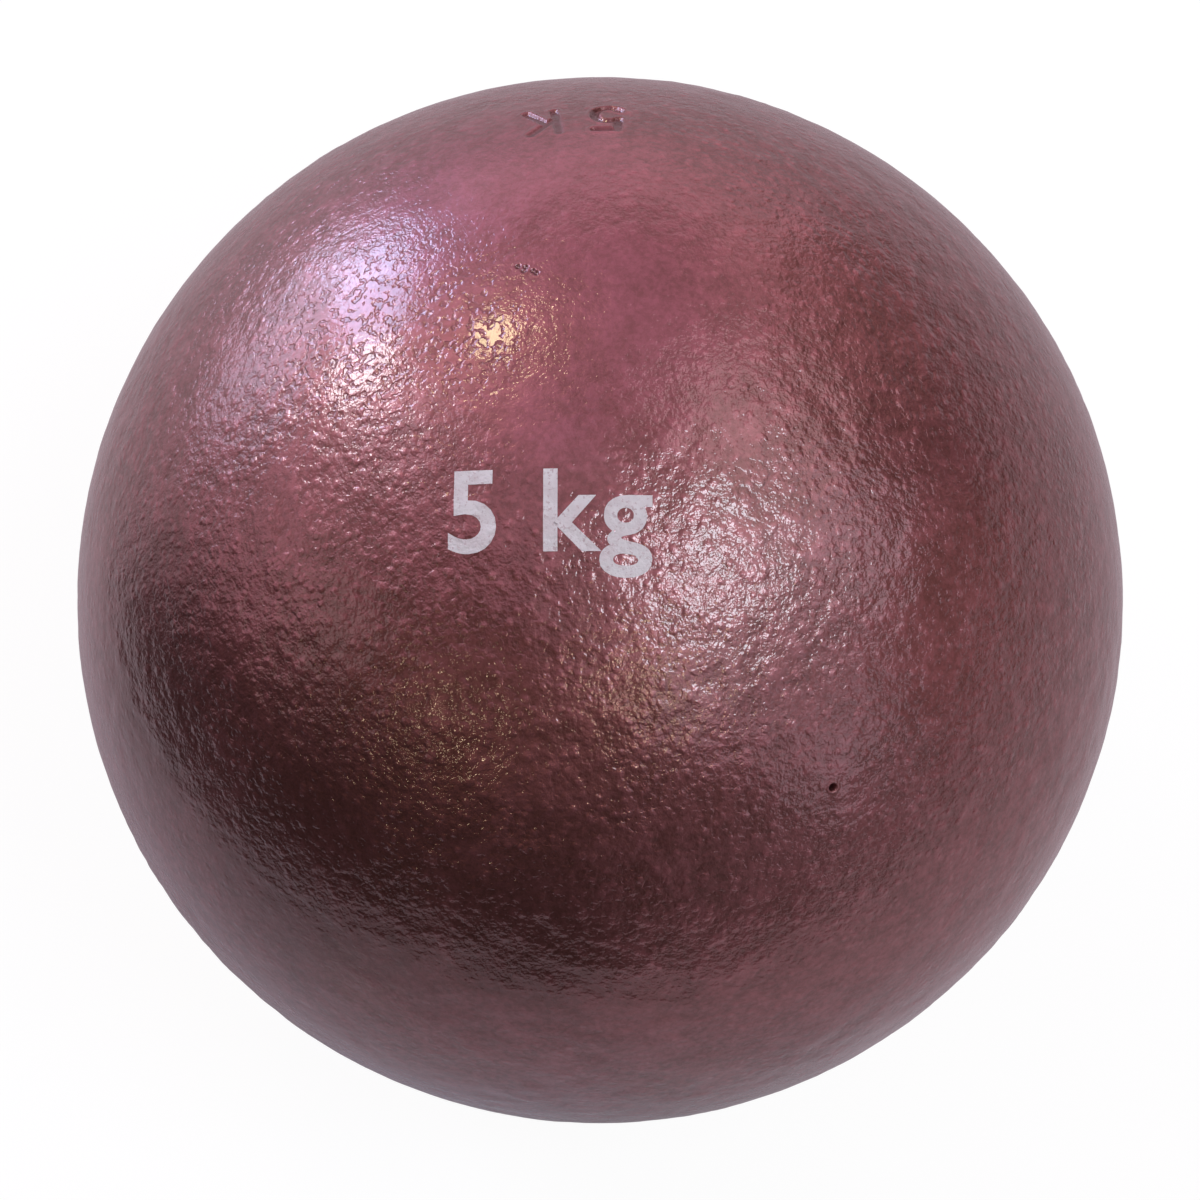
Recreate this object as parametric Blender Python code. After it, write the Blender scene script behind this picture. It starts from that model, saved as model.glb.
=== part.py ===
"""A 5 kg shot for shot putting: a grey-iron ball with a drilled weighing chamber.

The foundry casts the ball a little light, drills a stepped bore towards its middle and
pours lead into the chamber until the scale is nearly right. A lead disc makes up the last
grams, a fibre disc packs the filling tight, and a screw plug, dressed flush with the ball,
closes the bore.

Metres, +Z up, origin at the ball's centre. The bore runs along +Y and opens at the back.
"""

import math

import bmesh
import bpy

MM = 0.001

# Driving dimensions of the ball and its stepped bore.
BALL_DIAMETER = 110 * MM
CHAMBER_DIAMETER = 20 * MM
CHAMBER_DEPTH = 48 * MM  # straight wall, from the shoulder to the drill's shoulder
DRILL_POINT_DEG = 118
SHOULDER_WIDTH = 2 * MM  # step between the chamber and the wider plug bore
MOUTH_CHAMFER = 0.5 * MM
RELIEF_WIDTH = 2 * MM  # undercut where the tap runs out, at the foot of the plug bore
RELIEF_DEPTH = 0.6 * MM

# Pieces in the bore, from the mouth inwards.
PLUG_LENGTH = 14 * MM  # from the ball's own surface, on the axis
PLUG_EDGE = 0.4 * MM  # break on the rim of the dressed face
PLUG_LEAD_IN = 1.2 * MM  # chamfer that starts the thread
CENTRE_HOLE_DIAMETER = 4 * MM  # lathe centre in the plug's inner face
CENTRE_HOLE_DEG = 60
CENTRE_PILOT_DIAMETER = 1.6 * MM
CENTRE_PILOT_DEPTH = 1.5 * MM
PACKING_THICKNESS = 2 * MM
PACKING_EDGE = 0.4 * MM
TRIM_DISC_THICKNESS = 3 * MM
TRIM_DISC_EDGE = 0.5 * MM
POUR_DISH_DIAMETER = 12 * MM  # lead shrinks as it sets and leaves a shallow dish on top
POUR_DISH_DEPTH = 1.2 * MM
POUR_EDGE = 0.6 * MM

CLEARANCE = 0.3 * MM  # between neighbouring pieces, all round and end to end

# Facets.
TURNS = 72  # round the bore's axis
BALL_STEP_DEG = 5
FACE_STEPS = 4
ROUND_STEPS = 3
SMOOTH_BELOW_DEG = 30

# Colours and surface values of the finishes: red, green, blue, roughness, metallic.
PAINTED_IRON = (0.27, 0.08, 0.105, 0.35, 0.25)
CAST_LEAD = (0.25, 0.26, 0.28, 0.55, 0.9)
PUNCHED_LEAD = (0.34, 0.35, 0.37, 0.45, 0.9)
RED_FIBRE = (0.32, 0.09, 0.05, 0.8, 0.0)

# Sizes and places that follow from the driving dimensions. Heights run along the bore's
# axis, out of the ball, from its centre.
ball_radius = BALL_DIAMETER / 2
chamber_radius = CHAMBER_DIAMETER / 2
bore_radius = chamber_radius + SHOULDER_WIDTH
plug_inner_end = ball_radius - PLUG_LENGTH
packing_top = plug_inner_end - CLEARANCE
packing_foot = packing_top - PACKING_THICKNESS
shoulder_height = packing_foot - CLEARANCE
chamber_foot = shoulder_height - CHAMBER_DEPTH
trim_disc_foot = shoulder_height - TRIM_DISC_THICKNESS
ballast_top = trim_disc_foot - CLEARANCE


def cone_depth(radius, point_deg):
    """Height of a cone of this radius whose sides meet at the point angle."""
    return radius / math.tan(math.radians(point_deg / 2))


def ball_height(radius):
    """Height of the ball's surface at this distance from the axis."""
    return math.sqrt(ball_radius**2 - radius**2)


def ball_arc(start_deg, end_deg, step_deg):
    """Points of the ball's outline between two angles from its pole, both included."""
    steps = max(1, math.ceil((end_deg - start_deg) / step_deg))
    angles = [start_deg + (end_deg - start_deg) * i / steps for i in range(steps + 1)]
    return [
        (ball_radius * math.sin(math.radians(a)), ball_radius * math.cos(math.radians(a)))
        for a in angles
    ]


def rounded_corner(radius, height, fillet, side, rising):
    """Quarter round at the outer corner of a disc: side is 1 for its top and -1 for its foot."""
    points = []
    for i in range(ROUND_STEPS + 1):
        turn = math.radians(90 * i / ROUND_STEPS)
        points.append(
            (
                radius - fillet * (1 - math.cos(turn)),
                height - side * fillet * (1 - math.sin(turn)),
            )
        )
    return points[::-1] if rising else points


def make_finish(name, values):
    """Principled material from a finish's five values."""
    red, green, blue, roughness, metallic = values
    material = bpy.data.materials.new(name)
    material.use_nodes = True
    shader = material.node_tree.nodes["Principled BSDF"]
    shader.inputs["Base Color"].default_value = (red, green, blue, 1)
    shader.inputs["Roughness"].default_value = roughness
    shader.inputs["Metallic"].default_value = metallic
    return material


def turned_piece(name, outline, finish, axis):
    """Spins an outline of (radius, height) points, which starts and ends on the axis."""
    shape = bmesh.new()
    corners = [shape.verts.new((radius, 0, height)) for radius, height in outline]
    edges = [shape.edges.new(pair) for pair in zip(corners, corners[1:])]
    bmesh.ops.spin(
        shape,
        geom=corners + edges,
        cent=(0, 0, 0),
        axis=(0, 0, 1),
        angle=math.tau,
        steps=TURNS,
        use_merge=False,
    )
    bmesh.ops.remove_doubles(shape, verts=shape.verts, dist=0.001 * MM)
    bmesh.ops.recalc_face_normals(shape, faces=shape.faces)
    mesh = bpy.data.meshes.new(name)
    shape.to_mesh(mesh)
    shape.free()
    mesh.shade_smooth()
    mesh.set_sharp_from_angle(angle=math.radians(SMOOTH_BELOW_DEG))
    mesh.materials.append(finish)
    piece = bpy.data.objects.new(name, mesh)
    piece.parent = axis
    bpy.context.scene.collection.objects.link(piece)
    return piece


def make_bore_axis():
    """Empty whose own +Z runs along the bore, out of its mouth at the ball's back."""
    axis = bpy.data.objects.new("bore_axis", None)
    axis.rotation_euler = (math.radians(-90), 0, 0)
    bpy.context.scene.collection.objects.link(axis)
    return axis


def make_ball_casting(axis):
    """The iron ball with its stepped bore: drill point, chamber, shoulder, relief, plug bore."""
    mouth_radius = bore_radius + MOUTH_CHAMFER
    mouth_deg = math.degrees(math.asin(mouth_radius / ball_radius))
    relief_radius = bore_radius + RELIEF_DEPTH
    relief_top = shoulder_height + RELIEF_WIDTH
    bore = [
        (0, chamber_foot - cone_depth(chamber_radius, DRILL_POINT_DEG)),
        (chamber_radius, chamber_foot),
        (chamber_radius, shoulder_height),
        (relief_radius, shoulder_height),
        (relief_radius, relief_top),
        (bore_radius, relief_top + RELIEF_DEPTH),
        (bore_radius, ball_height(mouth_radius) - MOUTH_CHAMFER),
    ]
    # Two arcs, so that a ring of corners lies on the equator, at the full diameter.
    back_half = ball_arc(mouth_deg, 90, BALL_STEP_DEG)
    front_half = ball_arc(90, 180, BALL_STEP_DEG)[1:]
    outline = [*bore, *back_half, *front_half]
    return turned_piece("ball_casting", outline, make_finish("painted_iron", PAINTED_IRON), axis)


def make_lead_ballast(axis):
    """Lead poured into the chamber: it takes the drill point's shape and dishes on top."""
    radius = chamber_radius - CLEARANCE
    cone_foot = chamber_foot - cone_depth(chamber_radius, DRILL_POINT_DEG)
    # An equal gap square to the cone's side is longer along the axis.
    tip = cone_foot + CLEARANCE / math.sin(math.radians(DRILL_POINT_DEG / 2))
    cone_top = tip + cone_depth(radius, DRILL_POINT_DEG)
    dish_radius = POUR_DISH_DIAMETER / 2
    dish = []
    for i in range(FACE_STEPS + 1):
        share = i / FACE_STEPS
        fall = POUR_DISH_DEPTH * (1 + math.cos(math.pi * share)) / 2
        dish.append((dish_radius * share, ballast_top - fall))
    corner = rounded_corner(radius, ballast_top, POUR_EDGE, 1, rising=True)
    outline = [*dish, *corner, (radius, cone_top), (0, tip)]
    return turned_piece("lead_ballast", outline, make_finish("cast_lead", CAST_LEAD), axis)


def disc_outline(radius, foot, top, fillet):
    """A plain disc with rounded corners."""
    return [
        (0, top),
        *rounded_corner(radius, top, fillet, 1, rising=True),
        *rounded_corner(radius, foot, fillet, -1, rising=False),
        (0, foot),
    ]


def make_trim_disc(axis):
    """Lead disc, cut to the thickness that brings the shot to its weight."""
    outline = disc_outline(
        chamber_radius - CLEARANCE, trim_disc_foot, shoulder_height, TRIM_DISC_EDGE
    )
    return turned_piece("lead_trim_disc", outline, make_finish("punched_lead", PUNCHED_LEAD), axis)


def make_packing_disc(axis):
    """Fibre disc on the shoulder, which the plug squeezes so that the filling can't shift."""
    outline = disc_outline(bore_radius - CLEARANCE, packing_foot, packing_top, PACKING_EDGE)
    return turned_piece("packing_disc", outline, make_finish("red_fibre", RED_FIBRE), axis)


def make_screw_plug(axis):
    """Steel plug with its outer face dressed to the ball's own curve."""
    radius = bore_radius - CLEARANCE
    face_radius = radius - PLUG_EDGE
    face_deg = math.degrees(math.asin(face_radius / ball_radius))
    hole_radius = CENTRE_HOLE_DIAMETER / 2
    pilot_radius = CENTRE_PILOT_DIAMETER / 2
    hole_top = plug_inner_end + cone_depth(hole_radius - pilot_radius, CENTRE_HOLE_DEG)
    pilot_top = hole_top + CENTRE_PILOT_DEPTH
    outline = [
        *ball_arc(0, face_deg, face_deg / FACE_STEPS),
        (radius, ball_height(face_radius) - PLUG_EDGE),
        (radius, plug_inner_end + PLUG_LEAD_IN),
        (radius - PLUG_LEAD_IN, plug_inner_end),
        (hole_radius, plug_inner_end),
        (pilot_radius, hole_top),
        (pilot_radius, pilot_top),
        (0, pilot_top + cone_depth(pilot_radius, DRILL_POINT_DEG)),
    ]
    return turned_piece("screw_plug", outline, make_finish("painted_plug", PAINTED_IRON), axis)


def build_shot():
    for old in list(bpy.data.objects):
        bpy.data.objects.remove(old, do_unlink=True)
    axis = make_bore_axis()
    make_ball_casting(axis)
    make_lead_ballast(axis)
    make_trim_disc(axis)
    make_packing_disc(axis)
    make_screw_plug(axis)


build_shot()
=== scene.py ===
# A 5 kg shot: a rough-cast iron ball under glossy maroon enamel, with its weight punched
# into the skin above the screw plug. Lengths are metres, the ball's centre is the origin,
# and the bore runs along +Y, to the ball's back.

import math

import bmesh
import bpy
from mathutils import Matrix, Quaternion, Vector
from mathutils.bvhtree import BVHTree
from mathutils.kdtree import KDTree


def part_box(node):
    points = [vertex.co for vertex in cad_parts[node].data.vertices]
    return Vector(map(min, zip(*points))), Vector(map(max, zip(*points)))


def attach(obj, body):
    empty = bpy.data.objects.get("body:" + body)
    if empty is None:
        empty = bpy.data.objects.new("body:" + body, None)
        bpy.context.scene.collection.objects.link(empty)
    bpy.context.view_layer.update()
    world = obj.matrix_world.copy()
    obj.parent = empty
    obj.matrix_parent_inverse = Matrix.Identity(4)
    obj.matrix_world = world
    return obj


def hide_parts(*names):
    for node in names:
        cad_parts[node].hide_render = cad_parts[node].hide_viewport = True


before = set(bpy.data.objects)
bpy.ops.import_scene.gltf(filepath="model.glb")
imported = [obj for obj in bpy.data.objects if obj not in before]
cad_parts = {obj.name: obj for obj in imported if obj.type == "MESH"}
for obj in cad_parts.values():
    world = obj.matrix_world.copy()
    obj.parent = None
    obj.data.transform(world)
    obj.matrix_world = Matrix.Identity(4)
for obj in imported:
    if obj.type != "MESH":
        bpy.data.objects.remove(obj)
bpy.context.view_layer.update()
mm = 0.001

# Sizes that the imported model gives.
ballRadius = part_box("ball_casting")[1].z
plugLow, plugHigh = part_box("screw_plug")
ballastLow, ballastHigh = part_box("lead_ballast")
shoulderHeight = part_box("lead_trim_disc")[1].y
seatGap = 0.3 * mm  # between neighbouring pieces
print("frame loaded, ball", round(2 * ballRadius / mm, 2), "mm")


# Helpers for node trees.


def addNode(tree, kind, **settings):
    node = tree.nodes.new(kind)
    for name, value in settings.items():
        setattr(node, name, value)
    return node


def setInputs(node, **values):
    # _0 is the first input; a value may be a number, a colour or a socket to link from
    for name, value in values.items():
        socket = node.inputs[int(name[1:])] if name[0] == "_" else node.inputs[name]
        if isinstance(value, bpy.types.NodeSocket):
            socket.id_data.links.new(value, socket)
        else:
            socket.default_value = value
    return node


def mathNode(tree, operation, first, second=None, third=None, clamp=False):
    node = addNode(tree, "ShaderNodeMath", operation=operation, use_clamp=clamp)
    for index, value in enumerate((first, second, third)):
        if value is not None:
            setInputs(node, **{f"_{index}": value})
    return node.outputs[0]


def product(tree, first, *others):
    for other in others:
        first = mathNode(tree, "MULTIPLY", first, other)
    return first


def lessened(tree, share, loss):
    # 1 where the share is 0, and 1 - loss where it is 1
    return mathNode(tree, "MULTIPLY_ADD", share, -loss, 1.0)


def vectorNode(tree, operation, **values):
    node = addNode(tree, "ShaderNodeVectorMath", operation=operation)
    setInputs(node, **values)
    return node.outputs["Value" if operation in ("LENGTH", "DISTANCE") else "Vector"]


def splitPlace(tree, position):
    node = addNode(tree, "ShaderNodeSeparateXYZ")
    setInputs(node, Vector=position)
    return node.outputs


def acrossBore(tree, position):
    # the part of a place that lies square to the bore's axis
    return vectorNode(tree, "MULTIPLY", _0=position, _1=(1, 0, 1))


def ramp(tree, value, low, high, start=0.0, end=1.0, kind="SMOOTHSTEP"):
    node = addNode(tree, "ShaderNodeMapRange", interpolation_type=kind)
    setInputs(node, Value=value, _1=low, _2=high, _3=start, _4=end)
    return node.outputs["Result"]


def noise(tree, position, size, detail=1.0, roughness=0.5, seed=0.0, distortion=0.0):
    # size is the width of one lump, in metres; the result is centred on 0
    node = addNode(tree, "ShaderNodeTexNoise", noise_dimensions="4D")
    setInputs(node, Vector=position, W=seed, Detail=detail, Roughness=roughness)
    scale = 1 / size if isinstance(size, float) else mathNode(tree, "DIVIDE", 1.0, size)
    setInputs(node, Scale=scale, Distortion=distortion)
    return mathNode(tree, "SUBTRACT", node.outputs[0], 0.5)


def mixColours(tree, share, first, second):
    node = addNode(tree, "ShaderNodeMix", data_type="RGBA")
    setInputs(node, Factor=share, _6=first, _7=second)
    return node.outputs[2]


def bumpNode(tree, height):
    node = addNode(tree, "ShaderNodeBump")
    setInputs(node, Strength=1.0, Distance=1.0, Height=height)
    return node.outputs[0]


def newFinish(name):
    finish = bpy.data.materials.new(name)
    finish.use_nodes = True
    tree = finish.node_tree
    position = addNode(tree, "ShaderNodeTexCoord").outputs["Object"]
    return finish, tree, tree.nodes["Principled BSDF"], position


# Helpers for objects and meshes.


def newPiece(name, data):
    piece = bpy.data.objects.new(name, data)
    bpy.context.scene.collection.objects.link(piece)
    return piece


def turnFacesOut(mesh):
    shape = bmesh.new()
    shape.from_mesh(mesh)
    bmesh.ops.recalc_face_normals(shape, faces=shape.faces)
    shape.to_mesh(mesh)
    shape.free()


def smoothMesh(mesh, sharpDeg):
    mesh.shade_smooth()
    mesh.set_sharp_from_angle(angle=math.radians(sharpDeg))


def ballPoint(elevationDeg, turnDeg, radius=ballRadius):
    # turn goes from +Y towards +X, seen from above
    elevation, turn = math.radians(elevationDeg), math.radians(turnDeg)
    level = math.cos(elevation)
    direction = Vector((level * math.sin(turn), level * math.cos(turn), math.sin(elevation)))
    return direction * radius


def wayBeside(outward, right, across, up):
    # direction of a place that lies beside another one, measured along the skin
    angle = math.hypot(across, up) / ballRadius
    along = (right * across + outward.cross(right) * up).normalized()
    return outward * math.cos(angle) + along * math.sin(angle)


def stitchRings(faces, first, second):
    # walks round both rings and always joins the point that comes next
    i = j = 0
    m, n = len(first), len(second)
    while i < m or j < n:
        if j == n or (i < m and (i + 1) * n <= (j + 1) * m):
            faces.append((first[i % m], first[(i + 1) % m], second[j % n]))
            i += 1
        else:
            faces.append((first[i % m], second[(j + 1) % n], second[j % n]))
            j += 1


def turnedMesh(name, outline):
    # turned round the bore's axis; each ring is its radius, its y and its number of points
    points, faces, rings = [], [], []
    for radius, height, count in outline:
        rings.append(range(len(points), len(points) + count))
        for i in range(count):
            turn = math.tau * i / count
            points.append((radius * math.sin(turn), height, radius * math.cos(turn)))
    for first, second in zip(rings, rings[1:]):
        stitchRings(faces, first, second)
    mesh = bpy.data.meshes.new(name)
    mesh.from_pydata(points, [], [face for face in faces if len(set(face)) == 3])
    return mesh


def socketKind(value):
    if isinstance(value, bpy.types.Object):
        return "NodeSocketObject"
    if isinstance(value, bpy.types.Material):
        return "NodeSocketMaterial"
    return "NodeSocketFloat"


def storeValue(tree, geometry, name, value):
    node = addNode(tree, "GeometryNodeStoreNamedAttribute", data_type="FLOAT", domain="POINT")
    setInputs(node, Geometry=geometry, Name=name, Value=value)
    return node.outputs[0]


def applyTree(piece, name, inputs, shapeNodes):
    # runs a Geometry Nodes tree with these named inputs on a piece, and keeps its result
    tree = bpy.data.node_groups.new(name, "GeometryNodeTree")
    face = tree.interface
    face.new_socket("Geometry", in_out="OUTPUT", socket_type="NodeSocketGeometry")
    face.new_socket("Geometry", in_out="INPUT", socket_type="NodeSocketGeometry")
    identifiers = {}
    for title, value in inputs.items():
        socket = face.new_socket(title, in_out="INPUT", socket_type=socketKind(value))
        identifiers[title] = socket.identifier
    given = addNode(tree, "NodeGroupInput").outputs
    whole = addNode(tree, "GeometryNodeRealizeInstances")
    setInputs(whole, Geometry=shapeNodes(tree, given))
    coat = addNode(tree, "GeometryNodeSetMaterial")
    setInputs(coat, Geometry=whole.outputs[0], Material=given["Material"])
    setInputs(addNode(tree, "NodeGroupOutput"), Geometry=coat.outputs[0])

    modifier = piece.modifiers.new(name, "NODES")
    modifier.node_group = tree
    for title, value in inputs.items():
        modifier[identifiers[title]] = value
    graph = bpy.context.evaluated_depsgraph_get()
    finished = bpy.data.meshes.new_from_object(piece.evaluated_get(graph))
    piece.modifiers.remove(modifier)
    piece.data = finished
    finished.name = piece.name


# Where the enamel lies thick and smooth, where it is thick but dented, and where painted shade
# darkens it on the front-left flank: elevation, turn and reach of each zone.
smoothZones = [(80, -14, 22 * mm), (60, -24, 22 * mm), (86, -95, 10 * mm)]
dentedZones = [(64, -67, 14 * mm), (76, -60, 8 * mm)]
paintedShadeZones = [(31, -116, 20 * mm), (32, -145, 26 * mm), (33, -170, 14 * mm)]
zoneCore = 0.2  # a zone fades out between these shares of its reach
zoneRim = 1.1


def nearness(tree, position, zones):
    # 1 in the middle of each zone of the skin, 0 past its rim
    share = 0.0
    for elevation, turn, reach in zones:
        away = vectorNode(tree, "DISTANCE", _0=position, _1=ballPoint(elevation, turn))
        inside = ramp(tree, away, zoneCore * reach, zoneRim * reach, 1.0, 0.0)
        share = mathNode(tree, "MAXIMUM", inside, share)
    return share


# The ball's skin: rings of evenly spaced points round the bore's axis, with the bore's own
# rings behind them, so that the casting is one closed body.

castBall = {
    "pointSpacing": 0.76 * mm,
    "leastPoints": 6,  # in a ring
    "boreSpacing": 2.0 * mm,
    "mouthChamfer": 0.5 * mm,
    "reliefWidth": 2.0 * mm,
    "reliefDepth": 0.6 * mm,
    "drillPointDeg": 118,
    "sharpDeg": 40,
    "skinTolerance": 0.02 * mm,
    # relief of the casting; a height is the swing from hollow to crest
    "waveSize": 26 * mm,  # slow out-of-round swells of the mould
    "waveHeight": 0.20 * mm,
    "lumpSize": 4.2 * mm,  # sand lumps
    "lumpHeight": 0.18 * mm,
    "peelSize": 2.1 * mm,  # finest relief that the mesh carries
    "peelHeight": 0.20 * mm,
    "patchSize": 21 * mm,  # rough and smooth patches
    "patchEdge": 0.15,
    "patchShares": (0.45, 1.30),
    "thickLoss": 0.8,  # how much of the relief thick enamel hides
    "seed": 3.0,
    # ground smooth round the plug, where the relief fades out
    "dressedRadius": 17 * mm,
    "dressedFade": 1.35,  # the relief is back at this many times that radius
    "dressedShare": 0.05,
    # hollows: flat in their middle, with a burr round them
    "refineReaches": (2.2 * mm, 1.5 * mm, 0.95 * mm),  # finer mesh, closer in each time
    "hollowCore": 0.35,
    "burrPlace": 1.25,  # in reaches of the hollow
    "burrSharpness": 9.0,
}

# The two letter punches, 5 and K. Strokes are in shares of a letter's width and height: the
# corners of runs of lines, and a bow's middle, its two radii and its start and end in degrees.
weightMark = {
    "elevationDeg": 50.1,
    "turnDeg": -4.1,
    "letterHeight": 5.2 * mm,
    "letterWidth": 2.8 * mm,
    "letterStep": 6.4 * mm,
    "fiveLines": [[(0.92, 1.0), (0.14, 1.0), (0.08, 0.56)]],
    "fiveBow": (0.44, 0.32, 0.50, 0.32, 128, -142),
    "kayLines": [[(0, 0), (0, 1)], [(1, 1), (0.06, 0.42)], [(0.36, 0.60), (0.98, 0)]],
    "pointStep": 0.05 * mm,
    "leans": (0.06, -0.05),
    "forces": (1.0, 0.8),
    "footBite": 0.35,  # a punch that leans bites deeper at its foot and on one side
    "sideBite": 0.20,
    "strokeReach": 0.56 * mm,
    "strokeDepth": 0.27 * mm,
    "burr": 0.22,  # share of the depth
}

# Gas pits of the casting: one by itself, and a row that makes a small crack. Each place is
# an elevation and a turn.
castPits = {
    "pit": (44.4, 146.3),
    "pitReach": 0.44 * mm,
    "pitDepth": 1.0 * mm,
    "pitBurr": 0.05,
    "crack": [(74.4, -24.0), (74.0, -24.6), (73.5, -27.5), (73.2, -26.2), (72.7, -28.4)],
    "crackReach": 0.34 * mm,
    "crackDepth": 0.22 * mm,
    "crackBurr": 0.10,
}


def boreOutline():
    # (radius, y) from the tip of the chamber's drill point out to the mouth
    boreRadius = plugHigh.x + seatGap
    chamberRadius = ballastHigh.x + seatGap
    reliefRadius = boreRadius + castBall["reliefDepth"]
    reliefTop = shoulderHeight + castBall["reliefWidth"]
    halfPoint = math.radians(castBall["drillPointDeg"] / 2)
    tip = ballastLow.y - seatGap / math.sin(halfPoint)
    mouthRadius = boreRadius + castBall["mouthChamfer"]
    mouth = math.sqrt(ballRadius**2 - mouthRadius**2)
    return [
        (0, tip),
        (chamberRadius, tip + chamberRadius / math.tan(halfPoint)),
        (chamberRadius, shoulderHeight),
        (reliefRadius, shoulderHeight),
        (reliefRadius, reliefTop),
        (boreRadius, reliefTop + castBall["reliefDepth"]),
        (boreRadius, mouth - castBall["mouthChamfer"]),
        (mouthRadius, mouth),
    ]


def ringCount(radius):
    return max(castBall["leastPoints"], round(math.tau * radius / castBall["pointSpacing"]))


def skinOutline():
    tip, *bore = boreOutline()
    mouthRadius = bore[-1][0]
    count = ringCount(mouthRadius)
    outline = [(*tip, 1)]
    for (radius, height), (nextRadius, nextHeight) in zip(bore, bore[1:]):
        run = math.hypot(nextRadius - radius, nextHeight - height)
        steps = max(1, round(run / castBall["boreSpacing"]))
        for step in range(steps):
            share = step / steps
            between = radius + (nextRadius - radius) * share
            outline.append((between, height + (nextHeight - height) * share, count))
    outline.append((*bore[-1], count))
    mouthAngle = math.asin(mouthRadius / ballRadius)
    rowSpacing = castBall["pointSpacing"] * math.sin(math.pi / 3)
    rows = round((math.pi - mouthAngle) * ballRadius / rowSpacing)
    for row in range(1, rows):
        angle = mouthAngle + (math.pi - mouthAngle) * row / rows
        radius = ballRadius * math.sin(angle)
        outline.append((radius, ballRadius * math.cos(angle), ringCount(radius)))
    outline.append((0, -ballRadius, 1))
    return outline


def linePoints(runs):
    # points along runs of straight strokes, a step apart
    wide, tall, step = (weightMark[k] for k in ("letterWidth", "letterHeight", "pointStep"))
    points = []
    for run in runs:
        corners = [(x * wide, y * tall) for x, y in run]
        for (x0, y0), (x1, y1) in zip(corners, corners[1:]):
            steps = max(1, round(math.hypot(x1 - x0, y1 - y0) / step))
            for i in range(steps + 1):
                points.append((x0 + (x1 - x0) * i / steps, y0 + (y1 - y0) * i / steps))
    return points


def bowPoints(x, y, radiusAcross, radiusUp, start, end):
    wide, tall, step = (weightMark[k] for k in ("letterWidth", "letterHeight", "pointStep"))
    steps = max(2, round(abs(math.radians(end - start)) * radiusAcross * wide / step))
    turns = [math.radians(start + (end - start) * i / steps) for i in range(steps + 1)]
    return [
        ((x + radiusAcross * math.cos(t)) * wide, (y + radiusUp * math.sin(t)) * tall)
        for t in turns
    ]


def punchedPlaces():
    # each point of the mark's strokes on the ball, and how hard the punch bites there
    wide, tall = weightMark["letterWidth"], weightMark["letterHeight"]
    outward = ballPoint(weightMark["elevationDeg"], weightMark["turnDeg"], 1.0)
    right = Vector((0, 0, 1)).cross(outward).normalized()
    five = linePoints(weightMark["fiveLines"]) + bowPoints(*weightMark["fiveBow"])
    kay = linePoints(weightMark["kayLines"])
    letters = zip((five, kay), (-0.5, 0.5), weightMark["leans"], weightMark["forces"])
    placed = []
    for points, steps, lean, force in letters:
        for x, y in points:
            up = y - tall / 2
            across = x - wide / 2 + steps * weightMark["letterStep"] + lean * up
            bite = 1 + weightMark["footBite"] * (0.5 - y / tall)
            bite += weightMark["sideBite"] * (x / wide - 0.5)
            spot = wayBeside(outward, right, across, up) * ballRadius
            placed.append((spot, force * bite))
    return placed


def hollowPoints():
    # every punched or pitted place: where, how far it reaches, how deep, how much burr
    places = []
    for spot, bite in punchedPlaces():
        depth = weightMark["strokeDepth"] * bite
        places.append((spot, weightMark["strokeReach"], depth, weightMark["burr"]))
    pit = ballPoint(*castPits["pit"])
    places.append((pit, castPits["pitReach"], castPits["pitDepth"], castPits["pitBurr"]))
    for spot in castPits["crack"]:
        size = (castPits["crackReach"], castPits["crackDepth"], castPits["crackBurr"])
        places.append((ballPoint(*spot), *size))
    spots = [place[0] for place in places]
    mesh = bpy.data.meshes.new("hollow_points")
    mesh.from_pydata(spots, [], [])
    for index, name in enumerate(("reach", "depth", "burr"), start=1):
        values = mesh.attributes.new(name, "FLOAT", "POINT")
        values.data.foreach_set("value", [place[index] for place in places])
    return newPiece("hollow_points", mesh), spots


def refineSkin(mesh, spots):
    # halves the edges near each hollow, three times over, closer in each time
    finder = KDTree(len(spots))
    for index, spot in enumerate(spots):
        finder.insert(spot, index)
    finder.balance()
    shape = bmesh.new()
    shape.from_mesh(mesh)
    for reach in castBall["refineReaches"]:
        near = []
        for edge in shape.edges:
            middle = (edge.verts[0].co + edge.verts[1].co) / 2
            if finder.find(middle)[2] < reach:
                near.append(edge)
        made = bmesh.ops.subdivide_edges(shape, edges=near, cuts=1, use_grid_fill=True)
        for item in made["geom_inner"]:
            if isinstance(item, bmesh.types.BMVert):
                item.co = item.co.normalized() * ballRadius
    bmesh.ops.triangulate(shape, faces=[face for face in shape.faces if len(face.verts) > 3])
    shape.to_mesh(mesh)
    shape.free()


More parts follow.
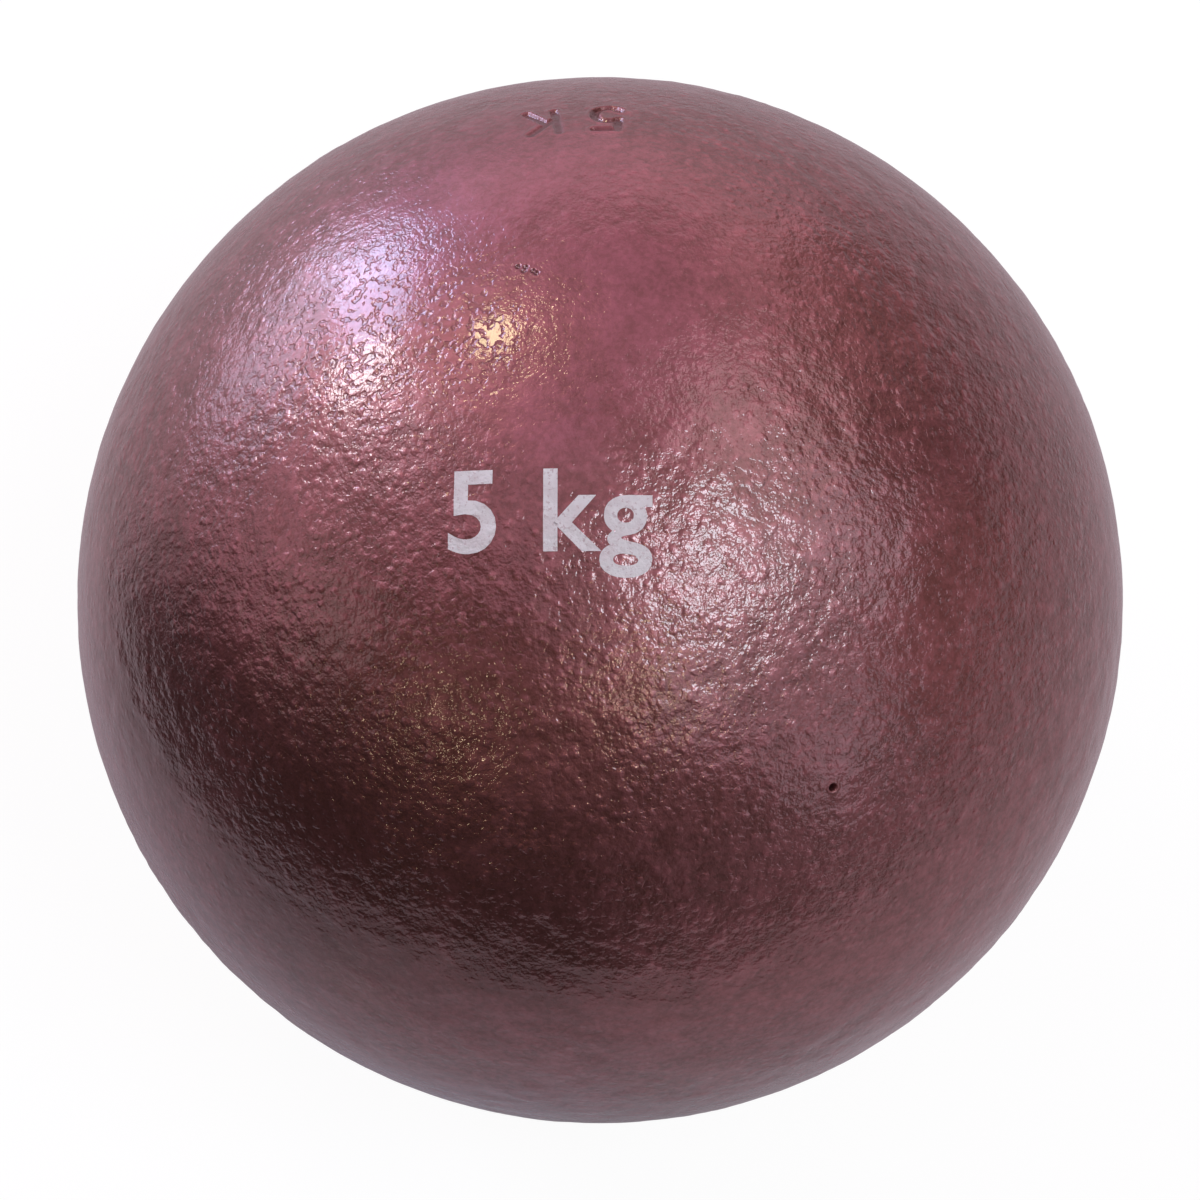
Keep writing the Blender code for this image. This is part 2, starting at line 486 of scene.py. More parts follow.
def castRelief(tree, position, given):
    # height of the cast skin, which is ground away round the plug and hidden by thick enamel
    seed = given["Seed"]
    wave = noise(tree, position, given["Wave Size"], seed=seed)
    lump = noise(tree, position, given["Lump Size"], roughness=0.4, seed=seed, distortion=0.6)
    peel = noise(tree, position, given["Peel Size"], roughness=0.4, seed=seed, distortion=0.3)
    patch = noise(tree, position, given["Patch Size"], seed=seed)
    edge = castBall["patchEdge"]
    patch = ramp(tree, patch, -edge, edge, *castBall["patchShares"])
    smooth = nearness(tree, position, smoothZones)
    thick = mathNode(tree, "MAXIMUM", smooth, nearness(tree, position, dentedZones))
    fromAxis = vectorNode(tree, "LENGTH", _0=acrossBore(tree, position))
    fadeEnd = product(tree, given["Dressed Radius"], castBall["dressedFade"])
    away = ramp(tree, fromAxis, given["Dressed Radius"], fadeEnd, castBall["dressedShare"], 1.0)
    front = mathNode(tree, "LESS_THAN", splitPlace(tree, position)["Y"], 0.0)
    rough = mathNode(tree, "MAXIMUM", away, front)
    fine = product(tree, lump, given["Lump Height"])
    fine = mathNode(tree, "MULTIPLY_ADD", peel, given["Peel Height"], fine)
    fine = product(tree, fine, patch, lessened(tree, thick, castBall["thickLoss"]), rough)
    return mathNode(tree, "MULTIPLY_ADD", wave, given["Wave Height"], fine)


def hollowRelief(tree, position, hollows):
    # the nearest hollow point says how far it reaches, how deep it goes and its burr
    nearest = addNode(tree, "GeometryNodeSampleNearest", domain="POINT")
    setInputs(nearest, Geometry=hollows, _1=position)

    def sampled(kind, value):
        node = addNode(tree, "GeometryNodeSampleIndex", data_type=kind, domain="POINT")
        setInputs(node, Geometry=hollows, Value=value, Index=nearest.outputs[0])
        return node.outputs[0]

    def guideValue(name):
        node = addNode(tree, "GeometryNodeInputNamedAttribute", data_type="FLOAT")
        setInputs(node, Name=name)
        return sampled("FLOAT", node.outputs[0])

    spot = sampled("FLOAT_VECTOR", addNode(tree, "GeometryNodeInputPosition").outputs[0])
    gap = vectorNode(tree, "DISTANCE", _0=position, _1=spot)
    share = mathNode(tree, "DIVIDE", gap, guideValue("reach"))
    sunk = ramp(tree, share, castBall["hollowCore"], 1.0, 1.0, 0.0)
    fromBurr = mathNode(tree, "SUBTRACT", share, castBall["burrPlace"])
    fall = product(tree, fromBurr, fromBurr, -castBall["burrSharpness"])
    burr = product(tree, mathNode(tree, "EXPONENT", fall), guideValue("burr"))
    dent = product(tree, mathNode(tree, "SUBTRACT", burr, sunk), guideValue("depth"))
    return dent, sunk


def castSkinNodes(tree, given):
    position = addNode(tree, "GeometryNodeInputPosition").outputs[0]
    guide = addNode(tree, "GeometryNodeObjectInfo", transform_space="RELATIVE")
    setInputs(guide, Object=given["Hollows"])
    dent, sunk = hollowRelief(tree, position, guide.outputs["Geometry"])
    height = mathNode(tree, "ADD", castRelief(tree, position, given), dent)

    # the skin is what lies at the ball's radius; the bore keeps its turned walls
    fromMiddle = vectorNode(tree, "LENGTH", _0=position)
    lower = mathNode(tree, "SUBTRACT", given["Ball Radius"], castBall["skinTolerance"])
    onSkin = mathNode(tree, "GREATER_THAN", fromMiddle, lower)
    normal = addNode(tree, "GeometryNodeInputNormal").outputs[0]
    push = vectorNode(tree, "SCALE", _0=normal, Scale=product(tree, height, onSkin))
    stored = storeValue(tree, given["Geometry"], "hollow", product(tree, sunk, onSkin))
    stored = storeValue(tree, stored, "bare", mathNode(tree, "SUBTRACT", 1.0, onSkin))
    move = addNode(tree, "GeometryNodeSetPosition")
    setInputs(move, Geometry=stored, Offset=push)
    return move.outputs[0]


def makeBallSkin(paint):
    mesh = turnedMesh("ball_skin", skinOutline())
    guide, spots = hollowPoints()
    refineSkin(mesh, spots)
    turnFacesOut(mesh)
    smoothMesh(mesh, castBall["sharpDeg"])
    skin = newPiece("ball_skin", mesh)
    inputs = {
        "Hollows": guide,
        "Material": paint,
        "Wave Size": castBall["waveSize"],
        "Wave Height": castBall["waveHeight"],
        "Lump Size": castBall["lumpSize"],
        "Lump Height": castBall["lumpHeight"],
        "Peel Size": castBall["peelSize"],
        "Peel Height": castBall["peelHeight"],
        "Patch Size": castBall["patchSize"],
        "Dressed Radius": castBall["dressedRadius"],
        "Ball Radius": ballRadius,
        "Seed": castBall["seed"],
    }
    applyTree(skin, "castSkin", inputs, castSkinNodes)
    bpy.data.objects.remove(guide)
    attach(skin, "root")
    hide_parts("ball_casting")
    print("ball skin:", len(skin.data.polygons), "faces")
    return skin


# The enamel: pigment under a gloss coat, with the relief that is too fine for the mesh.

enamel = {
    "wine": (0.400, 0.133, 0.165, 1),  # thick, smooth enamel
    "rust": (0.430, 0.150, 0.160, 1),
    "brown": (0.200, 0.069, 0.061, 1),
    # painted shade for the front-left flank
    "paintedShade": (0.085, 0.028, 0.021, 1),
    # dark red for painted shade in the dents, and for pooled paint and painted shade in the
    # punched hollows
    "deep": (0.070, 0.018, 0.018, 1),
    "bare": (0.300, 0.290, 0.280, 1),  # turned walls in the bore
    "roughness": 0.42,
    "metallic": 0.82,
    "coat": 1.0,
    "coatRoughness": 0.085,
    "coatIor": 1.65,
    "dimpleSize": 0.72 * mm,  # small worm-shaped dents
    "dimpleDepth": 0.095 * mm,
    "dimpleEdges": (-0.01, 0.15),
    "dimpleShares": (0.75, 0.25),  # in the dented zones, and wherever the skin is lumpy
    "grainSize": 0.32 * mm,  # fine sand grain
    "grainHeight": 0.070 * mm,
    "peelSize": 1.35 * mm,  # soft bumps, like leather
    "peelHeight": 0.145 * mm,
    "domeSize": 1.05 * mm,  # round grains of sand under the paint
    "domeHeight": 0.048 * mm,
    "domeEdges": (0.05, 0.52),
    "scratchSize": 0.30 * mm,  # marks of the grinder round the plug, under the paint
    "scratchHeight": 0.050 * mm,
    "scratchStretch": (0.06, 0.06, 1.0),
    "baseShare": 0.70,  # how much of the fine relief the pigment layer under the gloss shows
    # where the fine relief is weaker
    "calmHeight": (21 * mm, 29 * mm),  # the lower flank is smoother
    "calmShare": 0.40,
    "backShare": 0.60,  # least share of it on the ball's back
    "patchSize": 9 * mm,
    "patchEdge": 0.12,
    "patchShares": (0.80, 1.15),
    "dressedLoss": 0.80,
    "dentedLoss": 0.68,
    "smoothGrainLoss": 0.20,
    "smoothLumpLoss": 0.65,
    "leastRelief": 0.10,
    # tones: painted light on the bumps and painted shade in the hollows between them
    "domeCrest": 0.30,
    "crestMiddle": 0.15,
    "crestEdge": 0.14,
    "mottleSize": 0.65 * mm,
    "blotchSize": 3.6 * mm,
    "toneEdge": 0.13,
    "mottleTone": 0.35,
    "blotchTone": 0.25,
    "crestPaintedLight": 0.40,
    "smoothTone": 0.25,
    "paintedShadeShare": 0.60,
    "dimpleShade": 0.45,
    "hollowShade": 0.60,
}


def enamelShares(tree, position):
    # how smooth, dented and ground the skin is, and how much of each relief it shows
    smooth = nearness(tree, position, smoothZones)
    dented = nearness(tree, position, dentedZones)
    place = splitPlace(tree, position)
    back = mathNode(tree, "GREATER_THAN", place["Y"], 0.0)
    calm = ramp(tree, place["Z"], *enamel["calmHeight"], enamel["calmShare"], 1.0)
    calm = mathNode(tree, "MAXIMUM", calm, product(tree, back, enamel["backShare"]))
    fromAxis = vectorNode(tree, "LENGTH", _0=acrossBore(tree, position))
    reach = castBall["dressedRadius"]
    dressed = ramp(tree, fromAxis, reach, castBall["dressedFade"] * reach, 1.0, 0.0)
    dressed = product(tree, dressed, back)
    patch = noise(tree, position, enamel["patchSize"], seed=7.0)
    patch = ramp(tree, patch, -enamel["patchEdge"], enamel["patchEdge"], *enamel["patchShares"])
    patch = product(tree, patch, calm, lessened(tree, dressed, enamel["dressedLoss"]))
    plain = lessened(tree, dented, enamel["dentedLoss"])

    def reliefShare(loss):
        share = mathNode(tree, "MULTIPLY_ADD", smooth, -loss, plain)
        return product(tree, mathNode(tree, "MAXIMUM", share, enamel["leastRelief"]), patch)

    grainy = reliefShare(enamel["smoothGrainLoss"])
    lumpy = reliefShare(enamel["smoothLumpLoss"])
    return smooth, dented, dressed, grainy, lumpy


def enamelRelief(tree, position):
    # heights of the fine and the broad relief, and the shares that the colours follow
    smooth, dented, dressed, grainy, lumpy = enamelShares(tree, position)
    dimple = noise(tree, position, enamel["dimpleSize"], seed=4.0, distortion=0.3)
    dimple = ramp(tree, dimple, *enamel["dimpleEdges"])
    inZones, elsewhere = enamel["dimpleShares"]
    elsewhere = product(tree, lumpy, elsewhere)
    bowl = mathNode(tree, "MULTIPLY_ADD", dented, inZones, elsewhere, clamp=True)
    bowl = product(tree, dimple, bowl)

    grain = noise(tree, position, enamel["grainSize"], roughness=0.6, seed=5.0)
    fine = product(tree, grain, enamel["grainHeight"], grainy)
    fine = mathNode(tree, "MULTIPLY_ADD", bowl, -enamel["dimpleDepth"], fine)
    drawn = vectorNode(tree, "MULTIPLY", _0=position, _1=enamel["scratchStretch"])
    scratch = noise(tree, drawn, enamel["scratchSize"], detail=2.0, roughness=0.6, seed=8.0)
    scratch = product(tree, scratch, dressed, enamel["scratchHeight"])
    fine = mathNode(tree, "ADD", fine, scratch)

    peel = noise(tree, position, enamel["peelSize"], roughness=0.35, seed=6.0)
    grains = addNode(tree, "ShaderNodeTexVoronoi", voronoi_dimensions="3D", feature="F1")
    setInputs(grains, Vector=position, Scale=1 / enamel["domeSize"])
    dome = ramp(tree, grains.outputs["Distance"], *enamel["domeEdges"], 1.0, 0.0)
    broad = product(tree, peel, enamel["peelHeight"])
    broad = mathNode(tree, "MULTIPLY_ADD", dome, enamel["domeHeight"], broad)
    broad = product(tree, broad, lumpy)
    crest = mathNode(tree, "SUBTRACT", peel, enamel["crestMiddle"])
    crest = mathNode(tree, "MULTIPLY_ADD", dome, enamel["domeCrest"], crest)
    crest = product(tree, crest, lumpy)
    return fine, broad, smooth, bowl, crest


def attributeValue(tree, name):
    return addNode(tree, "ShaderNodeAttribute", attribute_name=name).outputs["Fac"]


def makeEnamel():
    finish, tree, shader, position = newFinish("maroon_enamel")
    fine, broad, smooth, bowl, crest = enamelRelief(tree, position)
    edge = enamel["toneEdge"]
    mottle = noise(
        tree, position, enamel["mottleSize"], detail=3.0, roughness=0.7, seed=2.0, distortion=0.3
    )
    blotch = noise(tree, position, enamel["blotchSize"], detail=2.0, seed=3.0, distortion=0.5)
    tone = product(tree, ramp(tree, blotch, -edge, edge), enamel["blotchTone"])
    mottle = ramp(tree, mottle, -edge, edge)
    tone = mathNode(tree, "MULTIPLY_ADD", mottle, enamel["mottleTone"], tone)
    # painted light on the bump crests and painted shade between them
    crest = ramp(tree, crest, -enamel["crestEdge"], enamel["crestEdge"])
    tone = mathNode(tree, "MULTIPLY_ADD", crest, enamel["crestPaintedLight"], tone)
    tone = mathNode(tree, "MULTIPLY_ADD", smooth, enamel["smoothTone"], tone, clamp=True)
    light = mixColours(tree, smooth, enamel["rust"], enamel["wine"])
    colour = mixColours(tree, tone, enamel["brown"], light)
    # painted shade on the front-left flank
    paintedShade = product(tree, nearness(tree, position, paintedShadeZones), enamel["paintedShadeShare"])
    colour = mixColours(tree, paintedShade, colour, enamel["paintedShade"])
    # painted shade in the worm-shaped dents
    dimple = product(tree, bowl, enamel["dimpleShade"])
    colour = mixColours(tree, dimple, colour, enamel["deep"])
    # the punched strokes and the pits darker: partly paint that pooled in them, partly painted
    # shade
    hollow = product(tree, attributeValue(tree, "hollow"), enamel["hollowShade"])
    colour = mixColours(tree, hollow, colour, enamel["deep"])
    colour = mixColours(tree, attributeValue(tree, "bare"), colour, enamel["bare"])

    baseHeight = mathNode(tree, "MULTIPLY_ADD", fine, enamel["baseShare"], broad)
    coatHeight = mathNode(tree, "ADD", fine, broad)
    setInputs(shader, **{"Base Color": colour, "Normal": bumpNode(tree, baseHeight)})
    setInputs(shader, Roughness=enamel["roughness"], Metallic=enamel["metallic"])
    setInputs(shader, **{"Coat Weight": enamel["coat"], "Coat IOR": enamel["coatIor"]})
    setInputs(shader, **{"Coat Roughness": enamel["coatRoughness"]})
    setInputs(shader, **{"Coat Normal": bumpNode(tree, coatHeight)})
    return finish


# The screw plug: a turned steel body with a real thread, dressed to the ball's curve and
# painted over with it.

screwPlug = {
    "rim": 0.4 * mm,  # break on the rim of the dressed face
    "faceSteps": 8,
    "leadIn": 1.2 * mm,
    "centreHole": 4.0 * mm,
    "centreHoleDeg": 60,
    "centrePilot": 1.6 * mm,
    "centrePilotDepth": 1.5 * mm,
    "pilotPointDeg": 118,
    "threadPitch": 1.5 * mm,
    "threadDepth": 0.80 * mm,
    "rootFlat": 1 / 4,  # shares of the pitch
    "crestFlat": 1 / 8,
    "wallTolerance": 0.01 * mm,
    "rowStep": 0.16 * mm,
    "turns": 128,  # points round the plug
    "sharpDeg": 32,
}


def plugOutline():
    # (radius, y) from the middle of the painted face to the bottom of the centre hole
    radius, inner = plugHigh.x, plugLow.y
    faceRadius = radius - screwPlug["rim"]
    outline = []
    for i in range(screwPlug["faceSteps"] + 1):
        here = faceRadius * i / screwPlug["faceSteps"]
        outline.append((here, math.sqrt(ballRadius**2 - here**2)))
    top = outline[-1][1] - screwPlug["rim"]
    foot = inner + screwPlug["leadIn"]
    rows = round((top - foot) / screwPlug["rowStep"])
    outline += [(radius, top + (foot - top) * i / rows) for i in range(rows + 1)]
    hole, pilot = screwPlug["centreHole"] / 2, screwPlug["centrePilot"] / 2
    throat = inner + (hole - pilot) / math.tan(math.radians(screwPlug["centreHoleDeg"] / 2))
    bottom = throat + screwPlug["centrePilotDepth"]
    tip = bottom + pilot / math.tan(math.radians(screwPlug["pilotPointDeg"] / 2))
    outline += [(radius - screwPlug["leadIn"], inner), (hole, inner)]
    outline += [(pilot, throat), (pilot, bottom), (0, tip)]
    return outline


def threadNodes(tree, given):
    position = addNode(tree, "GeometryNodeInputPosition").outputs[0]
    x, y, z = splitPlace(tree, position)
    outward = acrossBore(tree, position)

    # the groove climbs by one pitch in each turn
    turn = mathNode(tree, "DIVIDE", mathNode(tree, "ARCTAN2", x, z), math.tau)
    climb = mathNode(tree, "DIVIDE", y, given["Pitch"])
    phase = mathNode(tree, "FRACT", mathNode(tree, "SUBTRACT", climb, turn))
    side = mathNode(tree, "ABSOLUTE", mathNode(tree, "SUBTRACT", phase, 0.5))
    root, crest = screwPlug["rootFlat"] / 2, 0.5 - screwPlug["crestFlat"] / 2
    groove = ramp(tree, side, root, crest, 1.0, 0.0, "LINEAR")

    # only the wall between the lead-in and the rim is cut, and the groove runs out at both
    wall = mathNode(tree, "SUBTRACT", given["Radius"], screwPlug["wallTolerance"])
    radius = vectorNode(tree, "LENGTH", _0=outward)
    onWall = mathNode(tree, "GREATER_THAN", radius, wall)
    lowEnd = mathNode(tree, "ADD", given["Foot"], given["Pitch"])
    highStart = mathNode(tree, "SUBTRACT", given["Top"], given["Pitch"])
    low = ramp(tree, y, given["Foot"], lowEnd)
    high = ramp(tree, y, highStart, given["Top"], 1.0, 0.0)
    cut = product(tree, low, high, groove, onWall, given["Depth"], -1.0)
    unit = vectorNode(tree, "NORMALIZE", _0=outward)
    push = vectorNode(tree, "SCALE", _0=unit, Scale=cut)
    painted = mathNode(tree, "ADD", given["Top"], screwPlug["wallTolerance"])
    bare = mathNode(tree, "LESS_THAN", y, painted)
    move = addNode(tree, "GeometryNodeSetPosition")
    setInputs(move, Geometry=storeValue(tree, given["Geometry"], "bare", bare), Offset=push)
    return move.outputs[0]


def makeScrewPlug(paint):
    outline = plugOutline()
    turns = screwPlug["turns"]
    rings = [(radius, height, turns if radius > 0 else 1) for radius, height in outline]
    mesh = turnedMesh("threaded_plug", rings)
    turnFacesOut(mesh)
    plug = newPiece("threaded_plug", mesh)
    wallRows = [height for radius, height in outline if radius == plugHigh.x]
    inputs = {
        "Material": paint,
        "Radius": plugHigh.x,
        "Pitch": screwPlug["threadPitch"],
        "Depth": screwPlug["threadDepth"],
        "Foot": wallRows[-1],
        "Top": wallRows[0],
    }
    applyTree(plug, "plugThread", inputs, threadNodes)
    smoothMesh(plug.data, screwPlug["sharpDeg"])
    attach(plug, "root")
    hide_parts("screw_plug")
    print("screw plug:", len(plug.data.polygons), "faces")


# The printed weight, in white ink on the enamel.

weightPrint = {
    "text": "5 kg",
    "letterSize": 10.8 * mm,
    "boldness": 0.18 * mm,
    "letterSpacing": 1.12,
    "wordSpacing": 0.7,
    "curveSteps": 5,
    "elevationDeg": 77.2,
    "turnDeg": -156.3,
    "longestEdge": 0.35 * mm,
    "cuttingRounds": 12,
    "weldDistance": 0.001 * mm,
    "rise": 0.040 * mm,  # how far the ink stands proud
    "sink": 0.060 * mm,  # how far its foot reaches into the paint
    "rayStart": 2 * mm,  # above the ball
    "sharpDeg": 35,
    "ink": (0.760, 0.730, 0.740, 1),
    "worn": (0.450, 0.300, 0.320, 1),
    "roughness": 0.42,
    "rubSize": 0.35 * mm,  # specks where the ink is rubbed thin
    "rubEdges": (0.05, 0.16),
    "rubShare": 0.60,
    "cloudSize": 1.6 * mm,
    "cloudEdge": 0.15,
    "cloudShare": 0.22,
    "reliefShare": 0.70,  # how much of the enamel's relief shows through
}


def makeInk():
    finish, tree, shader, position = newFinish("white_ink")
    fine, broad = enamelRelief(tree, position)[:2]
    rubbed = noise(tree, position, weightPrint["rubSize"], detail=2.0, roughness=0.7, seed=12.0)
    rubbed = ramp(tree, rubbed, *weightPrint["rubEdges"], 0.0, weightPrint["rubShare"])
    cloudy = noise(tree, position, weightPrint["cloudSize"], detail=2.0, seed=13.0)
    edge = weightPrint["cloudEdge"]
    cloudy = ramp(tree, cloudy, -edge, edge, 0.0, weightPrint["cloudShare"])
    worn = mathNode(tree, "MAXIMUM", rubbed, cloudy)
    colour = mixColours(tree, worn, weightPrint["ink"], weightPrint["worn"])
    height = product(tree, mathNode(tree, "ADD", fine, broad), weightPrint["reliefShare"])
    setInputs(shader, **{"Base Color": colour, "Normal": bumpNode(tree, height)})
    setInputs(shader, Roughness=weightPrint["roughness"])
    return finish


def textMesh():
    curve = bpy.data.curves.new("weight_print", "FONT")
    curve.body = weightPrint["text"]
    curve.size = weightPrint["letterSize"]
    curve.offset = weightPrint["boldness"]
    curve.space_character = weightPrint["letterSpacing"]
    curve.space_word = weightPrint["wordSpacing"]
    curve.align_x = "CENTER"
    curve.align_y = "CENTER"
    curve.resolution_u = weightPrint["curveSteps"]
    word = newPiece("weight_print", curve)
    graph = bpy.context.evaluated_depsgraph_get()
    mesh = bpy.data.meshes.new_from_object(word.evaluated_get(graph))
    bpy.data.objects.remove(word)
    return mesh


def flatText():
    # the mark's flat places, faces and border, with edges short enough to follow the ball
    shape = bmesh.new()
    shape.from_mesh(textMesh())
    bmesh.ops.remove_doubles(shape, verts=shape.verts, dist=weightPrint["weldDistance"])
    bmesh.ops.triangulate(shape, faces=shape.faces)
    for _ in range(weightPrint["cuttingRounds"]):
        longest = weightPrint["longestEdge"]
        longEdges = [edge for edge in shape.edges if edge.calc_length() > longest]
        if not longEdges:
            break
        bmesh.ops.subdivide_edges(shape, edges=longEdges, cuts=1)
        bmesh.ops.triangulate(shape, faces=[face for face in shape.faces if len(face.verts) > 3])
    places = [tuple(vert.co.xy) for vert in shape.verts]
    faces = [[vert.index for vert in face.verts] for face in shape.faces]
    border = []
    for edge in shape.edges:
        if len(edge.link_faces) == 1:
            loop = edge.link_loops[0]
            border.append((loop.vert.index, loop.link_loop_next.vert.index))
    shape.free()
    return places, faces, border


def makeWeightPrint(skin):
    # a thin closed film of ink that follows the skin
    places, flatFaces, border = flatText()
    corners = [vert.co for vert in skin.data.vertices]
    surface = BVHTree.FromPolygons(corners, [face.vertices for face in skin.data.polygons])
    outward = ballPoint(weightPrint["elevationDeg"], weightPrint["turnDeg"], 1.0)
    right = (Vector((1, 0, 0)) - outward * outward.x).normalized()
    tops, feet = [], []
    for x, y in places:
        way = wayBeside(outward, right, x, y)
        hit = surface.ray_cast(way * (ballRadius + weightPrint["rayStart"]), -way)[0]
        tops.append(hit + way * weightPrint["rise"])
        feet.append(hit - way * weightPrint["sink"])
    count = len(places)
    faces = flatFaces + [[count + index for index in reversed(face)] for face in flatFaces]
    faces += [[second, first, count + first, count + second] for first, second in border]
    mesh = bpy.data.meshes.new("weight_print")
    mesh.from_pydata(tops + feet, [], faces)
    turnFacesOut(mesh)
    smoothMesh(mesh, weightPrint["sharpDeg"])
    mesh.materials.append(makeInk())
    ink = newPiece("weight_print", mesh)
    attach(ink, "root")
    print("weight print:", len(mesh.polygons), "faces")


# What lies in the bore: lead poured into the chamber, a lead disc and a fibre disc.

innerFinishes = {
    "lead_ballast": {
        "finish": "cast_lead",
        "colour": (0.250, 0.260, 0.280, 1),
        "second": (0.400, 0.405, 0.410, 1),  # pale oxide
        "patchSize": 3.2 * mm,
        "grainSize": 0.7 * mm,
        "grainHeight": 0.05 * mm,
        "stretch": (1, 1, 1),
        "roughness": 0.55,
        "metallic": 0.9,
    },
    "lead_trim_disc": {
        "finish": "punched_lead",
        "colour": (0.340, 0.350, 0.370, 1),
        "second": (0.230, 0.240, 0.260, 1),
        "patchSize": 1.2 * mm,
        "grainSize": 0.35 * mm,
        "grainHeight": 0.02 * mm,
        "stretch": (0.08, 1, 1),  # marks of the rolling mill
        "roughness": 0.45,
        "metallic": 0.9,
    },
    "packing_disc": {
        "finish": "red_fibre",
        "colour": (0.320, 0.090, 0.050, 1),
        "second": (0.430, 0.170, 0.110, 1),
        "patchSize": 0.8 * mm,
        "grainSize": 0.25 * mm,
        "grainHeight": 0.03 * mm,
        "stretch": (1, 1, 1),
        "roughness": 0.8,
        "metallic": 0.0,
    },
}
innerPatchEdges = (-0.12, 0.15)


def makeInnerFinish(values):
    finish, tree, shader, position = newFinish(values["finish"])
    drawn = vectorNode(tree, "MULTIPLY", _0=position, _1=values["stretch"])
    patch = noise(tree, drawn, values["patchSize"], detail=3.0, roughness=0.6, seed=1.0)
    grain = noise(tree, drawn, values["grainSize"], detail=2.0, roughness=0.6, seed=2.0)
    patch = ramp(tree, patch, *innerPatchEdges)
    colour = mixColours(tree, patch, values["colour"], values["second"])
    height = product(tree, grain, values["grainHeight"])
    setInputs(shader, **{"Base Color": colour, "Normal": bumpNode(tree, height)})
    setInputs(shader, Roughness=values["roughness"], Metallic=values["metallic"])
    return finish


def dressInnerPieces():
    for name, values in innerFinishes.items():
        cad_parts[name].material_slots[0].material = makeInnerFinish(values)
    print("inner pieces:", len(innerFinishes), "finishes")


# Stage: floor, room, lamps, camera.

studio = {
    "cameraElevationDeg": 70,
    "cameraDistance": 0.40,
    "sensorWidth": 36,  # millimetres
    "ballShare": 1046 / 1200,  # of the picture's width
    "floorWidth": 8.0,
    "floorColour": (0.82, 0.80, 0.80, 1),
    "floorRoughness": 0.30,
    "roomFloorRoughness": 0.90,
    # the pale table top ends to the left of the ball and in front of it
    "leftEdge": 0.170,
    "leftEdgeStart": 0.060,  # how far back the left edge runs
    "frontEdge": 0.340,
    "edgeSoftness": 0.03,
    "tableColour": (0.50, 0.48, 0.50, 1),  # the table, for all rays but the camera's
    "roomFloorColour": (0.03, 0.02, 0.02, 1),
    "tableGlow": (0.46, 0.37, 0.41, 1),  # how bright the pale table shows in the ball's gloss
    "shadeMiddle": (-0.060, -0.105, -0.055),  # a dim patch of the table in the ball's gloss
    "shadeInner": 0.06,
    "shadeOuter": 0.17,
    "shadeShare": 0.92,
    "seenWhite": (1.06, 1.06, 1.06, 1),
    "whiteShare": 0.88,  # how much of the seen floor is plain white, the rest takes shadow
    "seenWall": (1, 1, 1, 1),
    "roomColour": (0.84, 0.80, 0.80, 1),
    "roomStrength": 0.04,
    "lampDistance": 1.2,
}

# Each lamp: elevation, turn from +Y towards +X, roll, width, height, colour, watts. Colours
# and watts came from a program's least-squares fit to the photograph. The four panels,
# leftHigh, rightFill and rightFront still have them as fitted, leftLow and backRight their
# colours. The others were changed or set.
lamps = {
    "skyWindow": (18, -38, -33, 0.26, 0.55, (0.48, 0.64, 1.00), 3.2),
    "warmWindow": (31, -53, -33, 0.22, 0.22, (0.90, 0.95, 1.00), 2.0),
    "hallWindow": (4, -48, 0, 0.75, 0.50, (0.68, 0.74, 1.00), 3.2),
    "yellowLamp": (47, -29, -31, 0.14, 0.15, (1.00, 0.88, 0.50), 0.8),
    "panelMiddle": (65, 118, 0, 0.40, 0.36, (0.70, 0.90, 1.00), 4.3),
    "panelFar": (54, 58, 0, 0.60, 0.60, (1.00, 0.85, 0.90), 1.4),
    "panelRight": (38, 96, 0, 0.60, 0.42, (0.90, 0.85, 1.00), 1.1),
    "panelNear": (45, 146, 0, 0.50, 0.45, (0.90, 0.80, 1.00), 0.59),
    "backFill": (45, 8, 0, 1.30, 0.90, (1.00, 0.62, 0.80), 1.7),
    "backLow": (11, 3, 0, 1.15, 0.50, (1.00, 0.62, 0.74), 1.7),
    "leftTop": (66, -70, 0, 0.90, 0.80, (1.00, 0.62, 0.80), 1.2),
    "leftHigh": (44, -66, 0, 0.40, 0.40, (0.95, 0.80, 1.00), 0.76),
    "rightFill": (10, 95, 0, 0.80, 0.50, (1.00, 0.40, 0.35), 0.29),
    "rightFront": (18, 128, 0, 0.50, 0.40, (0.95, 0.85, 1.00), 0.62),
    "leftLow": (16, -82, 0, 0.55, 0.40, (1.00, 0.60, 0.75), 0.6),
    "backRight": (22, 40, 0, 0.80, 0.60, (1.00, 0.55, 0.55), 0.55),
    "overhead": (80, 160, 0, 0.90, 0.90, (1.00, 0.62, 0.85), 0.6),
    "lowWarm": (52, 165, 0, 0.10, 0.10, (1.00, 0.80, 0.50), 0.45),
    "leftMiddle": (29, -103, 0, 0.45, 0.40, (1.00, 0.90, 0.90), 0.4),
    "frontRight": (4, 151, 0, 0.90, 0.40, (1.00, 0.82, 0.90), 0.15),
    "smallYellow": (35, -141, 0, 0.08, 0.08, (1.00, 0.80, 0.50), 0.32),
}


def tableShares(tree, position):
    # where the table has ended, and how much of it shows in the ball's gloss
    place = splitPlace(tree, position)
    toLeft = product(tree, place["X"], -1.0)
    toFront = product(tree, place["Y"], -1.0)

    def beyond(value, start):
        return ramp(tree, value, start, start + studio["edgeSoftness"])

    left = beyond(toLeft, studio["leftEdge"])
    left = product(tree, left, beyond(toFront, -studio["leftEdgeStart"]))
    past = mathNode(tree, "MAXIMUM", left, beyond(toFront, studio["frontEdge"]))
    away = vectorNode(tree, "DISTANCE", _0=position, _1=studio["shadeMiddle"])
    edges = (studio["shadeInner"], studio["shadeOuter"])
    lit = ramp(tree, away, *edges, 1 - studio["shadeShare"], 1.0)
    return past, product(tree, mathNode(tree, "SUBTRACT", 1.0, past), lit)


